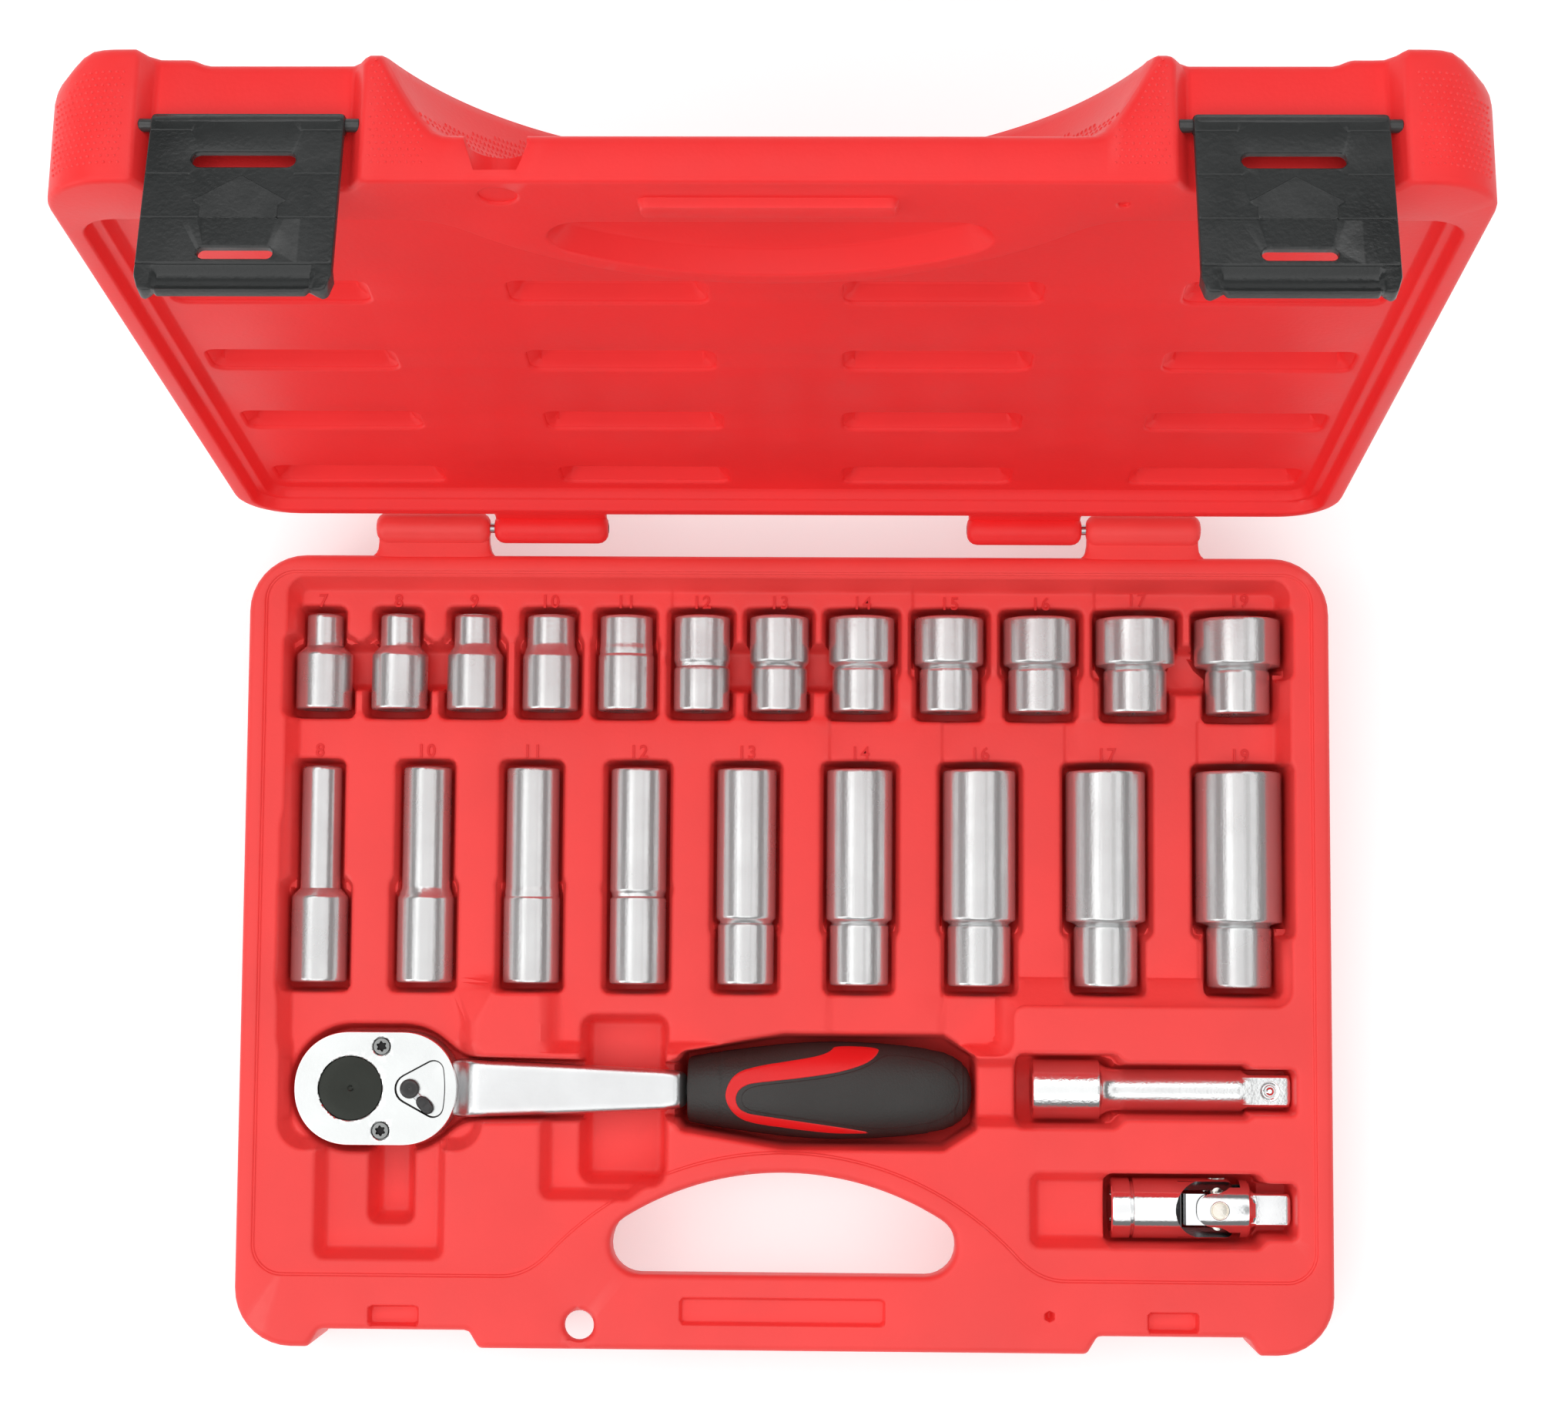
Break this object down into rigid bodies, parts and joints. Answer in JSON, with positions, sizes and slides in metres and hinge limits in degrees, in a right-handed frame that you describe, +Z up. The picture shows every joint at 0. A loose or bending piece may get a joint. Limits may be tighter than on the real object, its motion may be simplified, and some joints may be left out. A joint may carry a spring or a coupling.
{
  "type": "socket wrench set in case",
  "caption": "Socket wrench set in a hinged moulded case: short and deep hex sockets, ratchet handle, extension bar and universal joint, each lying in its own pocket.",
  "frame": {"origin": "middle of the flat underside of the case's base", "axes": "+Z up, -Y towards the carrying handle, +Y towards the hinge, X along the hinge"},
  "size_m": [0.325, 0.3187, 0.2853],
  "materials": {
    "red_plastic": "satin blow-moulded red polyethylene",
    "black_plastic": "satin moulded black",
    "chrome": "satin chrome plate",
    "steel": "ground steel",
    "black_steel": "black oxide",
    "grip_black": "soft black grip",
    "grip_red": "soft red inlay"
  },
  "bodies": {
    "case": {"case_base": "red_plastic", "hinge_pin_left": "steel", "hinge_pin_right": "steel"},
    "lid": {"case_lid": "red_plastic"},
    "latch_left": {"latch_left": "black_plastic"},
    "latch_right": {"latch_right": "black_plastic"},
    "ratchet": {"ratchet_body": "chrome", "ratchet_cover": "chrome", "cover_screws": "black_steel", "grip_core": "grip_black", "grip_inlay": "grip_red", "pawl_detent_ball": "steel", "pawl_detent_spring": "steel"},
    "drive": {"drive_gear": "black_steel", "drive_ball_spring": "steel"},
    "drive_ball": {"drive_ball": "steel"},
    "reverse_lever": {"reverse_lever": "chrome"},
    "pawl": {"pawl": "steel"},
    "extension": {"extension_bar": "chrome", "extension_ball_spring": "steel"},
    "extension_ball": {"extension_ball": "steel"},
    "ujoint": {"ujoint_socket": "chrome"},
    "ujoint_cross": {"ujoint_block": "steel", "ujoint_pins": "steel"},
    "ujoint_drive": {"ujoint_drive": "chrome", "ujoint_ball_spring": "steel"},
    "ujoint_ball": {"ujoint_ball": "steel"},
    "socket_07": {"socket_07": "chrome"},
    "socket_08": {"socket_08": "chrome"},
    "socket_09": {"socket_09": "chrome"},
    "socket_10": {"socket_10": "chrome"},
    "socket_11": {"socket_11": "chrome"},
    "socket_12": {"socket_12": "chrome"},
    "socket_13": {"socket_13": "chrome"},
    "socket_14": {"socket_14": "chrome"},
    "socket_15": {"socket_15": "chrome"},
    "socket_16": {"socket_16": "chrome"},
    "socket_17": {"socket_17": "chrome"},
    "socket_19": {"socket_19": "chrome"},
    "deep_socket_08": {"deep_socket_08": "chrome"},
    "deep_socket_10": {"deep_socket_10": "chrome"},
    "deep_socket_11": {"deep_socket_11": "chrome"},
    "deep_socket_12": {"deep_socket_12": "chrome"},
    "deep_socket_13": {"deep_socket_13": "chrome"},
    "deep_socket_14": {"deep_socket_14": "chrome"},
    "deep_socket_16": {"deep_socket_16": "chrome"},
    "deep_socket_17": {"deep_socket_17": "chrome"},
    "deep_socket_19": {"deep_socket_19": "chrome"}
  },
  "joints": [
    {"name": "lid_hinge", "type": "hinge", "parent": "case", "child": "lid", "pos_m": [0, 0.1263, 0.032], "axis": [-1, 0, 0], "range_deg": [-99.55, 0]},
    {"name": "latch_left_hinge", "type": "hinge", "parent": "lid", "child": "latch_left", "pos_m": [-0.115, 0.18201, 0.26793], "axis": [-1, 0, 0], "range_deg": [-8, 100]},
    {"name": "latch_right_hinge", "type": "hinge", "parent": "lid", "child": "latch_right", "pos_m": [0.115, 0.18201, 0.26793], "axis": [-1, 0, 0], "range_deg": [-8, 100]},
    {"name": "reverse_lever_turn", "type": "hinge", "parent": "ratchet", "child": "reverse_lever", "pos_m": [-0.1117, -0.0422, 0.03], "axis": [0, 0, 1], "range_deg": [0, 86]},
    {"name": "pawl_rock", "type": "hinge", "parent": "ratchet", "child": "pawl", "pos_m": [-0.1117, -0.0422, 0.022], "axis": [0, 0, 1], "range_deg": [0, 15]},
    {"name": "drive_spin", "type": "hinge", "parent": "ratchet", "child": "drive", "pos_m": [-0.1295, -0.0422, 0.016], "axis": [0, 0, 1], "continuous": true},
    {"name": "drive_ball_press", "type": "slide", "parent": "drive", "child": "drive_ball", "axis": [0, -1, 0], "range_m": [-0.00075, 0], "stiffness_N_per_m": 300},
    {"name": "ratchet_lift", "type": "slide", "parent": "case", "child": "ratchet", "axis": [0, 0, 1], "range_m": [0, 0.06]},
    {"name": "extension_lift", "type": "slide", "parent": "case", "child": "extension", "axis": [0, 0, 1], "range_m": [0, 0.06]},
    {"name": "extension_ball_press", "type": "slide", "parent": "extension", "child": "extension_ball", "axis": [0, 0, 1], "range_m": [-0.00075, 0], "stiffness_N_per_m": 300},
    {"name": "ujoint_lift", "type": "slide", "parent": "case", "child": "ujoint", "axis": [0, 0, 1], "range_m": [0, 0.06]},
    {"name": "ujoint_tilt", "type": "hinge", "parent": "ujoint", "child": "ujoint_cross", "pos_m": [0.1293, -0.0762, 0.0206], "axis": [0, -1, 0], "range_deg": [0, 35]},
    {"name": "ujoint_swing", "type": "hinge", "parent": "ujoint_cross", "child": "ujoint_drive", "pos_m": [0.1293, -0.0762, 0.0206], "axis": [0, 0, 1], "range_deg": [-5, 5]},
    {"name": "ujoint_ball_press", "type": "slide", "parent": "ujoint_drive", "child": "ujoint_ball", "axis": [0, 0, -1], "range_m": [-0.00075, 0], "stiffness_N_per_m": 300},
    {"name": "socket_07_lift", "type": "slide", "parent": "case", "child": "socket_07", "axis": [0, 0, 1], "range_m": [0, 0.06]},
    {"name": "socket_08_lift", "type": "slide", "parent": "case", "child": "socket_08", "axis": [0, 0, 1], "range_m": [0, 0.06]},
    {"name": "socket_09_lift", "type": "slide", "parent": "case", "child": "socket_09", "axis": [0, 0, 1], "range_m": [0, 0.06]},
    {"name": "socket_10_lift", "type": "slide", "parent": "case", "child": "socket_10", "axis": [0, 0, 1], "range_m": [0, 0.06]},
    {"name": "socket_11_lift", "type": "slide", "parent": "case", "child": "socket_11", "axis": [0, 0, 1], "range_m": [0, 0.06]},
    {"name": "socket_12_lift", "type": "slide", "parent": "case", "child": "socket_12", "axis": [0, 0, 1], "range_m": [0, 0.06]},
    {"name": "socket_13_lift", "type": "slide", "parent": "case", "child": "socket_13", "axis": [0, 0, 1], "range_m": [0, 0.06]},
    {"name": "socket_14_lift", "type": "slide", "parent": "case", "child": "socket_14", "axis": [0, 0, 1], "range_m": [0, 0.06]},
    {"name": "socket_15_lift", "type": "slide", "parent": "case", "child": "socket_15", "axis": [0, 0, 1], "range_m": [0, 0.06]},
    {"name": "socket_16_lift", "type": "slide", "parent": "case", "child": "socket_16", "axis": [0, 0, 1], "range_m": [0, 0.06]},
    {"name": "socket_17_lift", "type": "slide", "parent": "case", "child": "socket_17", "axis": [0, 0, 1], "range_m": [0, 0.06]},
    {"name": "socket_19_lift", "type": "slide", "parent": "case", "child": "socket_19", "axis": [0, 0, 1], "range_m": [0, 0.06]},
    {"name": "deep_socket_08_lift", "type": "slide", "parent": "case", "child": "deep_socket_08", "axis": [0, 0, 1], "range_m": [0, 0.06]},
    {"name": "deep_socket_10_lift", "type": "slide", "parent": "case", "child": "deep_socket_10", "axis": [0, 0, 1], "range_m": [0, 0.06]},
    {"name": "deep_socket_11_lift", "type": "slide", "parent": "case", "child": "deep_socket_11", "axis": [0, 0, 1], "range_m": [0, 0.06]},
    {"name": "deep_socket_12_lift", "type": "slide", "parent": "case", "child": "deep_socket_12", "axis": [0, 0, 1], "range_m": [0, 0.06]},
    {"name": "deep_socket_13_lift", "type": "slide", "parent": "case", "child": "deep_socket_13", "axis": [0, 0, 1], "range_m": [0, 0.06]},
    {"name": "deep_socket_14_lift", "type": "slide", "parent": "case", "child": "deep_socket_14", "axis": [0, 0, 1], "range_m": [0, 0.06]},
    {"name": "deep_socket_16_lift", "type": "slide", "parent": "case", "child": "deep_socket_16", "axis": [0, 0, 1], "range_m": [0, 0.06]},
    {"name": "deep_socket_17_lift", "type": "slide", "parent": "case", "child": "deep_socket_17", "axis": [0, 0, 1], "range_m": [0, 0.06]},
    {"name": "deep_socket_19_lift", "type": "slide", "parent": "case", "child": "deep_socket_19", "axis": [0, 0, 1], "range_m": [0, 0.06]}
  ],
  "couplings": [
    {"joint": "pawl_rock", "follows": "reverse_lever_turn", "ratio": 0.174}
  ]
}
